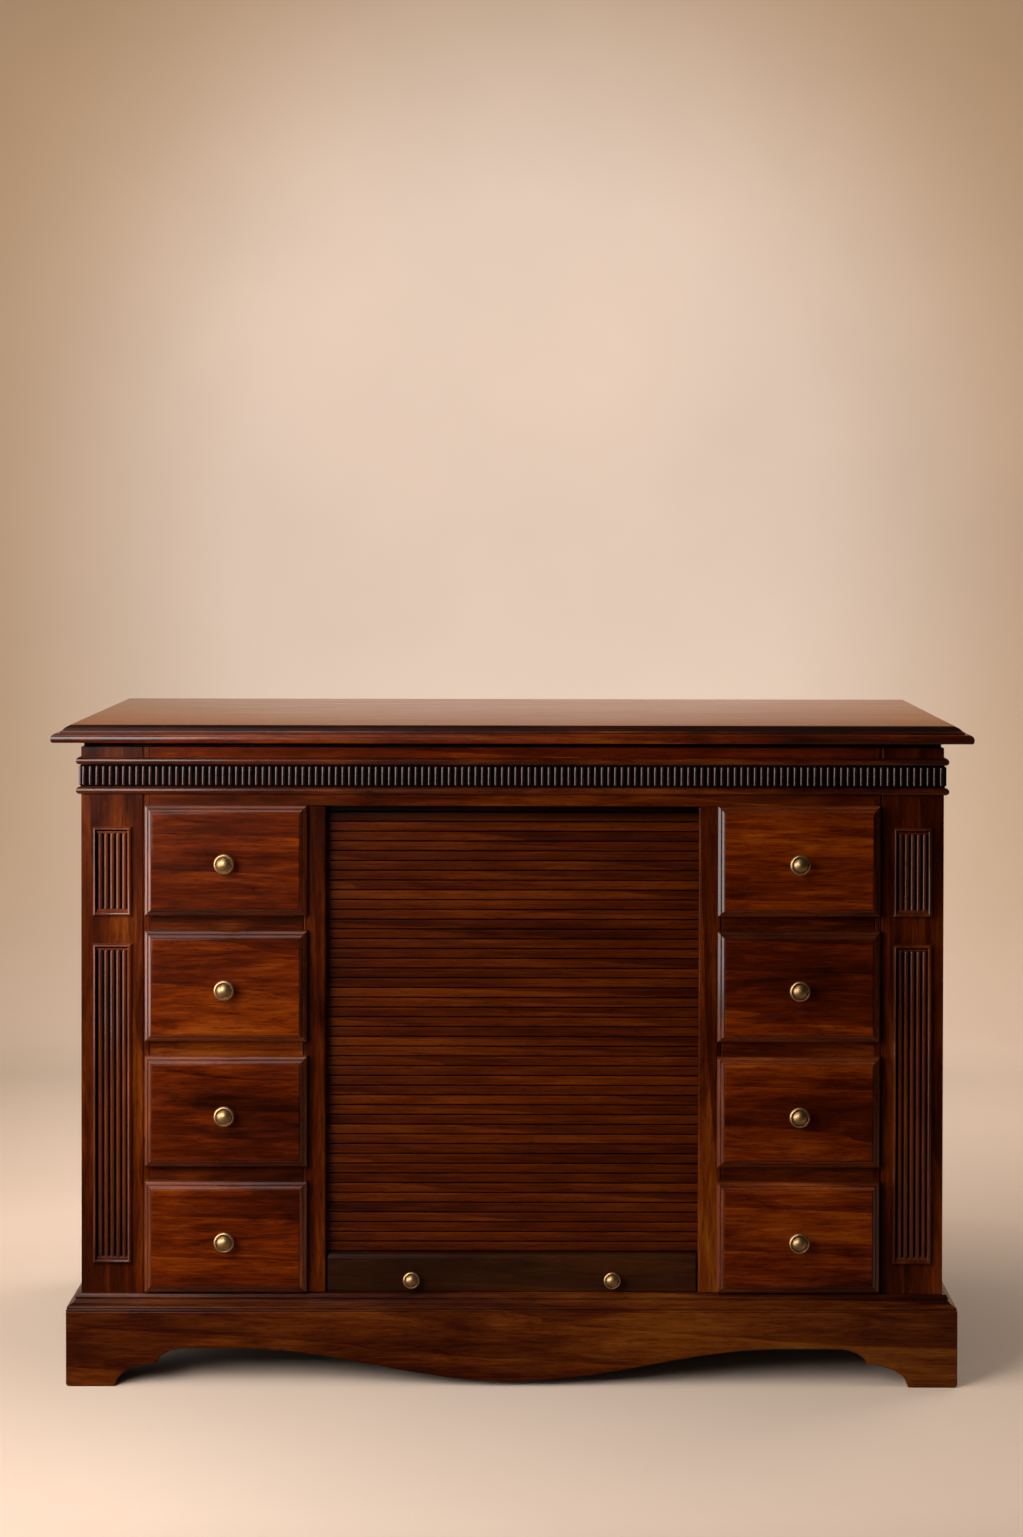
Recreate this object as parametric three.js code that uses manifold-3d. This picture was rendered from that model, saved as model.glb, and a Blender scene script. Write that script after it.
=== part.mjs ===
// Roll top desk: two banks of four drawers stand either side of an opening that a tambour closes.
// The tambour is drawn up by its lead bar and runs in grooves behind the frieze and under the top.
// Millimetres, +Z up, the front faces -Y, and the origin is on the floor at the middle of the
// footprint, drawer knobs included.
import * as THREE from "three";
import { mergeVertices } from "three/addons/utils/BufferGeometryUtils.js";
import Module from "manifold-3d";

const wasm = await Module();
wasm.setup();

// Overall sizes
const overallWidth = 1056;
const overallHeight = 762;
const topDepth = 566; // from the front of the top's edge to the back

// Top
const topThickness = 20;
const topOverhang = 31; // past the body at the front and sides; the back is flush
const topEdgeProfile = [
  // [in from the nose, up from the underside as a share of the thickness]: round nose, fillet, ogee
  [2.6, 0],
  [0.6, 0.1],
  [0, 0.28],
  [0.9, 0.42],
  [3.4, 0.52],
  [7.4, 0.58],
  [9.6, 0.59],
  [9.6, 0.67],
  [13.4, 0.71],
  [17.6, 0.82],
  [19.6, 0.93],
  [20, 1],
];
const spacerHeight = 6; // shadow gap under the top
const spacerSetback = 26; // of the spacer's front edge, so the gap looks black
const spacerTab = 14; // width of the end tabs that come forward to the face
const spacerTabSetback = 3;

// Carcass
const boardThickness = 18;
const backThickness = 8;
const frameThickness = 16;
const pilasterWidth = 79;
const quirkWidth = 2; // the sunk line that parts the pilaster from the drawers
const quirkDepth = 2;
const quirkFromInside = 6;
const drawerOpeningWidth = 177;
const innerStileWidth = 26;
const fitGap = 0.3; // between fixed pieces that lie against each other

// Frieze
const friezeRailHeight = 68;
const plainStripHeight = 12;
const beadHeight = 8.5;
const beadProud = 5.4;
const friezeHeight = 25.6;
const friezeBacking = 1;
const reedPitch = 7.64;
const reedProud = 3.2;
const reedCrest = [0.28, 0.72]; // where the flat of a reed's crest starts and ends, as shares of the pitch

// Base
const plinthHeight = 87;
const plinthThickness = 22;
const plinthProud = 16;
const baseMouldHeight = 18;
const footLength = 57;
const footArch = { length: 47.5, rise: 26.5 }; // the lower quarter round beside each foot
const innerArch = { length: 37, rise: 17.5 }; // the upper one, which starts at a cusp
const waveLength = 315; // from the middle of the front apron to where its edge runs level
const waveDrop = 37.6;
const waveSteps = 24;
const archSteps = 12;
const backPlinthClearance = 26; // above the floor
const baseMouldProfile = [
  // [out as a share of the plinth's projection, up as a share of the moulding's height]
  [1, 0],
  [1, 0.07],
  [0.91, 0.13],
  [0.89, 0.19],
  [0.78, 0.36],
  [0.59, 0.5],
  [0.39, 0.58],
  [0.34, 0.69],
  [0.34, 0.9],
  [0.26, 1],
];

// Fluted panels on the pilasters
const panelWidth = 45;
const panelFromOutside = 13.5;
const panelProud = 6;
const panelFrameWidth = 6;
const panelFloor = 1.6;
const panelReeds = 5;
const panelReedHeight = 3;
const panelReedInset = 4; // from the frame's inner edge to the reeds' ends
const panelReedShare = 0.84; // of the reed pitch that the reed itself fills
const panelTopDrop = 25.5; // from the top drawer front's upper edge to the short panel
const panelRowOverlap = 1; // how far the short panel reaches below the top drawer front
const panelGap = 31.8; // between the short and the long panel
const panelBottomRise = 31.4; // from the bottom drawer front's lower edge to the long panel
const panelFrameProfile = [
  // [in from the panel's edge, out as a share of its projection]
  [0, 0],
  [0, 0.4],
  [1.4, 0.85],
  [2.8, 1],
  [4, 0.92],
  [5, 0.7],
];

// Tambour
const slatPitch = 11.35;
const slatThickness = 9;
const slatGroove = 2.6; // depth of the line between two slats
const slatFace = [0.14, 0.76]; // where a slat's flat starts and ends, as shares of the pitch
const tambourGrooveDepth = 7;
const tambourClearance = 1; // between a slat and each wall of its groove
const tambourBendRadius = 24; // to the middle of the slats
const leadBarHeight = 44;
const leadBarSetback = 4;
const leadBarBevel = 4;
const leadBarEndGap = 1.5;
const leadKnobSpacing = 231.4;
const leadKnobFromBottom = 16.5;

// Drawers
const drawerRows = 4;
const drawerGap = 17;
const drawerSideLip = 5;
const drawerLip = 2.5;
const drawerFrontThickness = 16;
const drawerTopLip = 1.5;
const drawerSillGap = 3;
const drawerEdge = [
  // [in from the front's edge, back from its face]: round-over, quirk and raised field
  [0, 7],
  [1, 3.4],
  [3.4, 1.4],
  [6, 1.2],
  [6.6, 2.4],
  [9.4, 0],
];
const drawerWall = 10;
const drawerBottom = 6;
const drawerSlideGap = 1.5;
const drawerTopGap = 5;
const drawerBackGap = 20;
const guideWidth = 12;
const guideHeight = 12;
const webRail = 56;
const webRunner = 24;

// Knobs
const drawerKnobRadius = 12.3;
const leadKnobRadius = 10.2;
const knobDrop = 2; // below the middle of a drawer front
const knobSides = 20;
const knobProfile = [
  // [radius, out from the face], as shares of the knob's own radius
  [0, 0],
  [0.62, 0],
  [0.62, 0.12],
  [0.4, 0.24],
  [0.4, 0.72],
  [0.8, 1.0],
  [0.98, 1.18],
  [0.98, 1.36],
  [0.84, 1.46],
  [0.7, 1.4],
  [0.6, 1.6],
  [0.34, 1.8],
  [0, 1.88],
];

// Places worked out from the sizes
const knobLength = knobProfile.at(-1)[1] * drawerKnobRadius;
const knobReach = fitGap + drawerFrontThickness + fitGap + knobLength; // past the body's face
const backY = (topDepth - topOverhang + knobReach) / 2;
const frontY = knobReach - backY;
const bodyHalf = overallWidth / 2 - topOverhang;
const topUnderside = overallHeight - topThickness;
const bodyTop = topUnderside - spacerHeight;
const headerZ = bodyTop - friezeRailHeight;
const sillZ = plinthHeight + baseMouldHeight;
const sideInner = bodyHalf - boardThickness;
const pilasterInner = bodyHalf - pilasterWidth;
const stileOuter = pilasterInner - drawerOpeningWidth;
const openingHalf = stileOuter - innerStileWidth;
const partitionInner = openingHalf + 1;
const frameBackY = frontY + frameThickness;
const boardBackY = backY - backThickness - fitGap;
const carcassTopZ = bodyTop - boardThickness;
const bayTop = headerZ + drawerTopLip;
const bayBottom = sillZ + drawerSillGap;
const drawerHeight = (bayTop - bayBottom - (drawerRows - 1) * drawerGap) / drawerRows;
const drawerPitch = drawerHeight + drawerGap;
const webThickness = drawerGap + 2 * drawerLip;
const leadBarTop = sillZ + fitGap + leadBarHeight;
const tambourRoof = carcassTopZ - 2 * tambourClearance - slatThickness; // slats' middle at the top
const tambourBendZ = tambourRoof - tambourBendRadius;

// Finishes
const mahogany = { color: 0x6a2610, roughness: 0.38, metalness: 0 };
const darkMahogany = { color: 0x34140a, roughness: 0.4, metalness: 0 };
const tambourWood = { color: 0x5a220e, roughness: 0.45, metalness: 0 };
const innerWood = { color: 0xa9804f, roughness: 0.7, metalness: 0 };
const antiqueBrass = { color: 0x9c7840, roughness: 0.35, metalness: 0.9 };

function mesh(name, geometry, finish) {
  const made = new THREE.Mesh(geometry, new THREE.MeshStandardMaterial(finish));
  made.name = name;
  return made;
}

// A rectangular block between two corners.
function block([x0, x1], [y0, y1], [z0, z1]) {
  const geometry = new THREE.BoxGeometry(x1 - x0, y1 - y0, z1 - z0);
  return geometry.translate((x0 + x1) / 2, (y0 + y1) / 2, (z0 + z1) / 2);
}

// The span from a to b on the right, or its mirror image on the left.
function span(side, a, b) {
  return side < 0 ? [-b, -a] : [a, b];
}

// A closed solid through rings of equal point counts, each given anticlockwise as seen from its end.
function loft(rings) {
  const count = rings[0].length;
  const positions = rings.flat(2);
  const index = [];
  for (let r = 0; r + 1 < rings.length; r++) {
    for (let i = 0; i < count; i++) {
      const a = r * count + i;
      const b = r * count + ((i + 1) % count);
      index.push(a, b, b + count, a, b + count, a + count);
    }
  }
  const last = (rings.length - 1) * count;
  for (let i = 1; i + 1 < count; i++) {
    index.push(0, i + 1, i, last, last + i, last + i + 1);
  }
  const geometry = new THREE.BufferGeometry();
  geometry.setAttribute("position", new THREE.Float32BufferAttribute(positions, 3));
  return geometry.setIndex(index);
}

// A moulding that returns along both sides of the body and ends flush at the back.
// Profile points are [outwards from the body's face, height], from the lowest to the highest.
function returnedMoulding(profile) {
  return loft(
    profile.map(([out, z]) => [
      [-bodyHalf - out, frontY - out, z],
      [bodyHalf + out, frontY - out, z],
      [bodyHalf + out, backY, z],
      [-bodyHalf - out, backY, z],
    ]),
  );
}

// A panel that faces -Y. Profile points are [in from the panel's edge, out from its back], back first.
function facePanel(width, height, profile) {
  return loft(
    profile.map(([inset, out]) => {
      const x = width / 2 - inset;
      const z = height / 2 - inset;
      return [
        [-x, -out, -z],
        [x, -out, -z],
        [x, -out, z],
        [-x, -out, z],
      ];
    }),
  );
}

// A closed path through [x, y] points, always anticlockwise.
function anticlockwise(points) {
  const path = points.map(([x, y]) => new THREE.Vector2(x, y));
  return THREE.ShapeUtils.isClockWise(path) ? path.reverse() : path;
}

// Extrudes an outline of [x, y] points upwards from z.
function extrudeUp(points, z, height, hole) {
  const shape = new THREE.Shape(anticlockwise(points));
  if (hole) {
    shape.holes.push(new THREE.Path(anticlockwise(hole)));
  }
  const geometry = new THREE.ExtrudeGeometry(shape, { depth: height, bevelEnabled: false });
  return geometry.translate(0, 0, z);
}

// Extrudes an outline of [x, z] points from y back to y + depth.
function extrudeBack(points, y, depth) {
  return extrudeUp(points, 0, depth)
    .rotateX(Math.PI / 2)
    .translate(0, y + depth, 0);
}

// Extrudes an outline of [y, z] points from x to x + width.
function extrudeAcross(points, x, width) {
  const turn = new THREE.Matrix4().set(0, 0, 1, 0, 1, 0, 0, 0, 0, 1, 0, 0, 0, 0, 0, 1);
  return extrudeUp(points, 0, width).applyMatrix4(turn).translate(x, 0, 0);
}

function solid(geometry) {
  const bare = geometry.clone();
  bare.deleteAttribute("normal");
  bare.deleteAttribute("uv");
  const merged = mergeVertices(bare, 1e-4);
  return new wasm.Manifold(
    new wasm.Mesh({
      numProp: 3,
      vertProperties: new Float32Array(merged.attributes.position.array),
      triVerts: new Uint32Array(merged.index.array),
    }),
  );
}

function geometryOf(manifold) {
  const { vertProperties, triVerts } = manifold.getMesh();
  const geometry = new THREE.BufferGeometry();
  geometry.setAttribute("position", new THREE.BufferAttribute(vertProperties, 3));
  return geometry.setIndex(new THREE.BufferAttribute(triVerts, 1));
}

function cut(geometry, ...tools) {
  return geometryOf(tools.reduce((made, tool) => made.subtract(solid(tool)), solid(geometry)));
}

function join(geometry, ...others) {
  return geometryOf(others.reduce((made, other) => made.add(solid(other)), solid(geometry)));
}

// The body's own space, which every applied moulding stands clear of by the fit gap.
function bodyCore(z0, z1) {
  const half = bodyHalf + fitGap;
  return block([-half, half], [frontY - fitGap, backY + 1], [z0 - 1, z1 + 1]);
}

// ---- Top ----

function topSlab() {
  return returnedMoulding(
    topEdgeProfile.map(([inwards, up]) => [topOverhang - inwards, topUnderside + up * topThickness]),
  );
}

// A thin board that holds the top off the body, cut back at the front between two end tabs.
function topSpacer() {
  const outer = bodyHalf - spacerTabSetback;
  const tabInner = outer - spacerTab;
  const tabY = frontY + spacerTabSetback;
  const edgeY = frontY + spacerSetback;
  const points = [
    [-outer, tabY],
    [-tabInner, tabY],
    [-tabInner, edgeY],
    [tabInner, edgeY],
    [tabInner, tabY],
    [outer, tabY],
    [outer, backY],
    [-outer, backY],
  ];
  return extrudeUp(points, bodyTop, spacerHeight);
}

// ---- Carcass ----

function sidePanel(side) {
  return block(
    span(side, sideInner, bodyHalf),
    [frameBackY, backY],
    [plinthHeight, bodyTop],
  );
}

function pilaster(side) {
  const quirkInner = pilasterInner + quirkFromInside;
  const outline = [
    [pilasterInner, frontY],
    [quirkInner, frontY],
    [quirkInner, frontY + quirkDepth],
    [quirkInner + quirkWidth, frontY + quirkDepth],
    [quirkInner + quirkWidth, frontY],
    [bodyHalf, frontY],
    [bodyHalf, frameBackY - fitGap],
    [pilasterInner, frameBackY - fitGap],
  ];
  return extrudeUp(
    outline.map(([x, y]) => [side * x, y]),
    plinthHeight,
    bodyTop - plinthHeight,
  );
}

function innerStile(side) {
  return block(
    span(side, openingHalf, stileOuter),
    [frontY, frameBackY - fitGap],
    [sillZ, headerZ - fitGap],
  );
}

function friezeRail() {
  const half = pilasterInner - fitGap;
  return block([-half, half], [frontY, frameBackY - fitGap], [headerZ, bodyTop]);
}

// The line the tambour runs on: up behind the frame, round a bend and back under the carcass top.
// Offset moves it away from the bend's centre.
function tambourLine(offset) {
  const y = frameBackY + tambourClearance + slatThickness / 2;
  const centre = new THREE.Vector2(y + tambourBendRadius, tambourBendZ);
  const radius = tambourBendRadius + offset;
  const arc = new THREE.EllipseCurve(centre.x, centre.y, radius, radius, Math.PI, Math.PI / 2, true);
  const endY = boardBackY - webRail;
  return [
    [centre.x - radius, sillZ - 1],
    ...arc.getPoints(10).map((p) => [p.x, p.y]),
    [endY, centre.y + radius],
  ];
}

function partition(side) {
  const half = slatThickness / 2 + tambourClearance;
  const groove = [...tambourLine(half), ...tambourLine(-half).reverse()];
  const depth = tambourGrooveDepth + 1;
  const grooveX = side < 0 ? -partitionInner - tambourGrooveDepth : partitionInner - 1;
  const panel = block(
    span(side, partitionInner, stileOuter),
    [frameBackY, boardBackY],
    [sillZ + fitGap, carcassTopZ - fitGap],
  );
  return cut(panel, extrudeAcross(groove, grooveX, depth));
}

function carcassTop() {
  const half = sideInner - fitGap;
  return block([-half, half], [frameBackY, boardBackY], [carcassTopZ, bodyTop]);
}

// A strip on a drawer's floor that keeps the drawer box straight.
function drawerGuide(side, z) {
  const x = pilasterInner - fitGap;
  return block(
    span(side, x, x + guideWidth),
    [frameBackY + fitGap, boardBackY],
    [z - 1, z + guideHeight],
  );
}

function carcassBottom() {
  const half = sideInner - fitGap;
  const front = pilasterInner - fitGap;
  const outline = [
    [-front, frontY],
    [front, frontY],
    [front, frameBackY],
    [half, frameBackY],
    [half, boardBackY],
    [-half, boardBackY],
    [-half, frameBackY],
    [-front, frameBackY],
  ];
  const board = extrudeUp(outline, plinthHeight, baseMouldHeight);
  return join(board, drawerGuide(-1, sillZ), drawerGuide(1, sillZ));
}

function backPanel() {
  const half = sideInner - fitGap;
  return block([-half, half], [backY - backThickness, backY], [plinthHeight, bodyTop]);
}

// Front rail, two runners and a back rail in one frame, which parts two drawers.
function webFrame(side, row) {
  const floor = bayTop - row * drawerPitch - drawerHeight - drawerGap - drawerLip;
  const inner = stileOuter + fitGap;
  const outer = sideInner - fitGap;
  const railOuter = pilasterInner - fitGap;
  const outline = [
    [inner, frontY],
    [railOuter, frontY],
    [railOuter, frameBackY],
    [outer, frameBackY],
    [outer, boardBackY],
    [inner, boardBackY],
  ];
  const holeX = [inner + webRunner, pilasterInner - webRunner];
  const holeY = [frameBackY + webRail, boardBackY - webRail];
  const hole = [
    [holeX[0], holeY[0]],
    [holeX[1], holeY[0]],
    [holeX[1], holeY[1]],
    [holeX[0], holeY[1]],
  ];
  const mirrored = (points) => points.map(([x, y]) => [side * x, y]);
  const frame = extrudeUp(mirrored(outline), floor, webThickness, mirrored(hole));
  return join(frame, drawerGuide(side, floor + webThickness));
}

// ---- Frieze mouldings ----

function bead(z0) {
  const steps = 5;
  const profile = [];
  for (let i = 0; i <= steps; i++) {
    const angle = -Math.PI / 2 + (Math.PI * i) / steps;
    const out = beadProud - beadHeight / 2 + (Math.cos(angle) * beadHeight) / 2;
    profile.push([out, z0 + (beadHeight * (1 + Math.sin(angle))) / 2]);
  }
  return cut(returnedMoulding(profile), bodyCore(z0, z0 + beadHeight));
}

// Upright reeds along the front and both sides, on a thin backing.
function reededFrieze(z0) {
  const floor = fitGap + friezeBacking;
  const reeds = (start, end) => {
    const count = Math.round(end.distanceTo(start) / reedPitch);
    const along = end.clone().sub(start).divideScalar(count);
    const out = new THREE.Vector2(along.y, -along.x).setLength(reedProud - floor);
    const points = [];
    for (let i = 0; i < count; i++) {
      points.push(start.clone().addScaledVector(along, i));
      for (const share of reedCrest) {
        points.push(start.clone().addScaledVector(along, i + share).add(out));
      }
    }
    return points.map((p) => [p.x, p.y]);
  };
  const half = bodyHalf + floor;
  const front = frontY - floor;
  const corners = [
    new THREE.Vector2(-half, backY),
    new THREE.Vector2(-half, front),
    new THREE.Vector2(half, front),
    new THREE.Vector2(half, backY),
  ];
  const inner = bodyHalf + fitGap;
  const outline = [
    ...reeds(corners[0], corners[1]),
    ...reeds(corners[1], corners[2]),
    ...reeds(corners[2], corners[3]),
    [half, backY],
    [inner, backY],
    [inner, frontY - fitGap],
    [-inner, frontY - fitGap],
    [-inner, backY],
  ];
  return extrudeUp(outline, z0, friezeHeight - 2 * fitGap);
}

// ---- Base ----

// Half of an apron's lower edge as [along, z], from the middle to the foot's outer corner.
function apronEdge(half, drop) {
  const archZ = footArch.rise + innerArch.rise;
  const footInner = half - footLength;
  const cusp = footInner - footArch.length;
  const points = [];
  if (drop > 0) {
    for (let i = 0; i < waveSteps; i++) {
      const fall = (drop * (1 + Math.cos((Math.PI * i) / waveSteps))) / 2;
      points.push([(waveLength * i) / waveSteps, archZ - fall]);
    }
    points.push([waveLength, archZ]);
  }
  const upper = new THREE.EllipseCurve(
    cusp - innerArch.length, footArch.rise, innerArch.length, innerArch.rise, Math.PI / 2, 0, true,
  );
  const lower = new THREE.EllipseCurve(
    cusp, 0, footArch.length, footArch.rise, Math.PI / 2, 0, true,
  );
  const arcs = [...upper.getPoints(archSteps), ...lower.getPoints(archSteps).slice(1)];
  points.push(...arcs.map((p) => [p.x, p.y]));
  points.push([half, 0]);
  return points;
}

// A plinth board's full outline as [along, z], with shaped feet at both ends.
function plinthOutline(half, drop) {
  const edge = apronEdge(half, drop);
  const mirrored = edge.map(([x, z]) => [-x, z]).reverse();
  if (drop > 0) {
    mirrored.pop();
  }
  return [...mirrored, ...edge, [half, plinthHeight - fitGap], [-half, plinthHeight - fitGap]];
}

function plinthFront() {
  const half = bodyHalf + plinthProud;
  return extrudeBack(plinthOutline(half, waveDrop), frontY - plinthProud, plinthThickness);
}

function plinthSide(side) {
  const faceY = frontY - plinthProud;
  const half = (backY - faceY) / 2;
  const outline = plinthOutline(half, 0).map(([y, z]) => [faceY + half + y, z]);
  const [x0, x1] = span(side, bodyHalf + plinthProud - plinthThickness, bodyHalf + plinthProud);
  const frontBoard = block(
    [x0 - 1, x1 + 1],
    [faceY - 1, faceY + plinthThickness + fitGap],
    [-1, plinthHeight + 1],
  );
  return cut(extrudeAcross(outline, x0, plinthThickness), frontBoard);
}

function plinthBack() {
  const half = bodyHalf + plinthProud - plinthThickness - fitGap;
  return block(
    [-half, half],
    [backY - plinthThickness, backY],
    [backPlinthClearance, plinthHeight - fitGap],
  );
}

function baseMoulding() {
  const profile = baseMouldProfile.map(([out, up]) => [
    out * plinthProud,
    plinthHeight + up * baseMouldHeight,
  ]);
  return cut(returnedMoulding(profile), bodyCore(plinthHeight, sillZ));
}

// ---- Fluted panels ----

function flutedPanel(height) {
  const profile = panelFrameProfile.map(([inset, out]) => [inset, out * panelProud]);
  const plate = facePanel(panelWidth, height, profile);
  const floorHalf = panelWidth / 2 - panelFrameWidth;
  const endHalf = height / 2 - panelFrameWidth;
  const sunk = block([-floorHalf, floorHalf], [-panelProud - 1, -panelFloor], [-endHalf, endHalf]);
  const reedStep = (2 * floorHalf) / panelReeds;
  const reedHalf = (reedStep * panelReedShare) / 2;
  const reedEnd = endHalf - panelReedInset;
  const reeds = [];
  for (let i = 0; i < panelReeds; i++) {
    const centre = -floorHalf + (i + 0.5) * reedStep;
    const arc = new THREE.EllipseCurve(
      centre, -panelFloor, reedHalf, panelReedHeight, 0, -Math.PI, true,
    );
    const rootY = -panelFloor / 2;
    const outline = arc.getPoints(4).map((p) => [p.x, p.y]);
    outline.push([centre - reedHalf, rootY], [centre + reedHalf, rootY]);
    reeds.push(extrudeUp(outline, -reedEnd, 2 * reedEnd));
  }
  return join(cut(plate, sunk), ...reeds);
}

// ---- Tambour ----

// The slats as one ribbed sheet, from the lead bar up to where the grooves begin to bend.
function tambourCurtain() {
  const faceY = frameBackY + tambourClearance;
  const bottom = leadBarTop + fitGap;
  const top = tambourBendZ - fitGap;
  const count = Math.round((top - bottom) / slatPitch);
  const pitch = (top - bottom) / count;
  const outline = [];
  for (let i = 0; i < count; i++) {
    const z = bottom + i * pitch;
    outline.push([faceY + slatGroove, z], ...slatFace.map((share) => [faceY, z + share * pitch]));
  }
  outline.push([faceY + slatGroove, top]);
  outline.push([faceY + slatThickness, top]);
  outline.push([faceY + slatThickness, bottom]);
  const half = partitionInner + tambourGrooveDepth - tambourClearance;
  return extrudeAcross(outline, -half, 2 * half);
}

function leadBar() {
  const faceY = frontY + leadBarSetback;
  const slatY = frameBackY + tambourClearance;
  const z0 = sillZ + fitGap;
  const outline = [
    [faceY, z0],
    [faceY, leadBarTop - leadBarBevel],
    [faceY + leadBarBevel, leadBarTop],
    [slatY + slatThickness, leadBarTop],
    [slatY + slatThickness, z0],
  ];
  const half = openingHalf - leadBarEndGap;
  const tongueHalf = partitionInner + tambourGrooveDepth - tambourClearance;
  return join(
    extrudeAcross(outline, -half, 2 * half),
    block([-tongueHalf, tongueHalf], [slatY, slatY + slatThickness], [z0, leadBarTop]),
  );
}

function knob(radius) {
  const points = knobProfile.map(([r, out]) => new THREE.Vector2(r * radius, out * radius));
  return new THREE.LatheGeometry(points, knobSides);
}

// A knob whose foot stands on the plane y and that points to the front.
function placedKnob(name, radius, x, y, z) {
  const made = mesh(name, knob(radius), antiqueBrass);
  made.rotation.x = Math.PI;
  made.position.set(x, y, z);
  return made;
}

// ---- Drawers ----

function drawerFront() {
  const width = drawerOpeningWidth + 2 * drawerSideLip;
  const faces = drawerEdge.map(([inset, down]) => [inset, drawerFrontThickness - down]);
  return facePanel(width, drawerHeight, [[0, 0], ...faces]);
}

// An open-topped box whose front end stands against the drawer front.
function drawerBox(openingBottom, openingTop) {
  const half = drawerOpeningWidth / 2 - drawerSlideGap;
  const length = boardBackY - drawerBackGap - frontY;
  const bottom = openingBottom + fitGap;
  const top = openingTop - drawerTopGap;
  const shell = block([-half, half], [0, length], [bottom, top]);
  const inside = block(
    [-half + drawerWall, half - drawerWall],
    [drawerWall, length - drawerWall],
    [bottom + drawerBottom, top + 1],
  );
  return cut(shell, inside);
}

function drawer(side, row) {
  const sideName = side < 0 ? "left" : "right";
  const made = new THREE.Group();
  const centreZ = bayTop - drawerHeight / 2 - row * drawerPitch;
  const centreX = (side * (stileOuter + pilasterInner)) / 2;
  made.position.set(centreX, frontY, centreZ);
  const openingTop = row === 0 ? headerZ : centreZ + drawerHeight / 2 - drawerLip;
  const openingBottom = row === drawerRows - 1 ? sillZ : centreZ - drawerHeight / 2 + drawerLip;
  const label = sideName + "_" + (row + 1);
  const front = mesh("drawer_front_" + label, drawerFront(), mahogany);
  front.position.y = -fitGap;
  const box = mesh(
    "drawer_box_" + label,
    drawerBox(openingBottom - centreZ, openingTop - centreZ),
    innerWood,
  );
  const faceY = -fitGap - drawerFrontThickness;
  made.add(front, box, placedKnob("knob_" + label, drawerKnobRadius, 0, faceY - fitGap, -knobDrop));
  return made;
}

// ---- Assembly ----

const desk = new THREE.Group();
const upperBeadZ = bodyTop - plainStripHeight - beadHeight;
const friezeZ = upperBeadZ - friezeHeight;
const shortPanelBottom = bayTop - drawerHeight - panelRowOverlap;
const panelSpans = [
  ["short", shortPanelBottom, bayTop - panelTopDrop],
  ["long", bayBottom + panelBottomRise, shortPanelBottom - panelGap],
];

desk.add(
  mesh("top_slab", topSlab(), mahogany),
  mesh("top_spacer", topSpacer(), darkMahogany),
  mesh("carcass_top", carcassTop(), innerWood),
  mesh("carcass_bottom", carcassBottom(), mahogany),
  mesh("back_panel", backPanel(), innerWood),
  mesh("frieze_rail", friezeRail(), mahogany),
  mesh("upper_bead", bead(upperBeadZ), darkMahogany),
  mesh("reeded_frieze", reededFrieze(friezeZ + fitGap), darkMahogany),
  mesh("lower_bead", bead(friezeZ - beadHeight), darkMahogany),
  mesh("base_moulding", baseMoulding(), mahogany),
  mesh("plinth_front", plinthFront(), mahogany),
  mesh("plinth_back", plinthBack(), innerWood),
);

for (const [sideName, side] of [["left", -1], ["right", 1]]) {
  desk.add(
    mesh("side_panel_" + sideName, sidePanel(side), mahogany),
    mesh("pilaster_" + sideName, pilaster(side), mahogany),
    mesh("inner_stile_" + sideName, innerStile(side), mahogany),
    mesh("partition_" + sideName, partition(side), innerWood),
    mesh("plinth_side_" + sideName, plinthSide(side), mahogany),
  );
  for (let row = 0; row < drawerRows - 1; row++) {
    desk.add(mesh("web_frame_" + sideName + "_" + (row + 1), webFrame(side, row), mahogany));
  }
  const panelX = side * (bodyHalf - panelFromOutside - panelWidth / 2);
  for (const [label, bottom, top] of panelSpans) {
    const name = "fluted_panel_" + label + "_" + sideName;
    const panel = mesh(name, flutedPanel(top - bottom), darkMahogany);
    panel.position.set(panelX, frontY - fitGap, (bottom + top) / 2);
    desk.add(panel);
  }
  for (let row = 0; row < drawerRows; row++) {
    desk.add(drawer(side, row));
  }
  const knobX = (side * leadKnobSpacing) / 2;
  const knobY = frontY + leadBarSetback - fitGap;
  const knobZ = sillZ + leadKnobFromBottom;
  desk.add(placedKnob("lead_knob_" + sideName, leadKnobRadius, knobX, knobY, knobZ));
}

desk.add(
  mesh("tambour_curtain", tambourCurtain(), tambourWood),
  mesh("lead_bar", leadBar(), darkMahogany),
);

export default desk;
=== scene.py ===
import math

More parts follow.
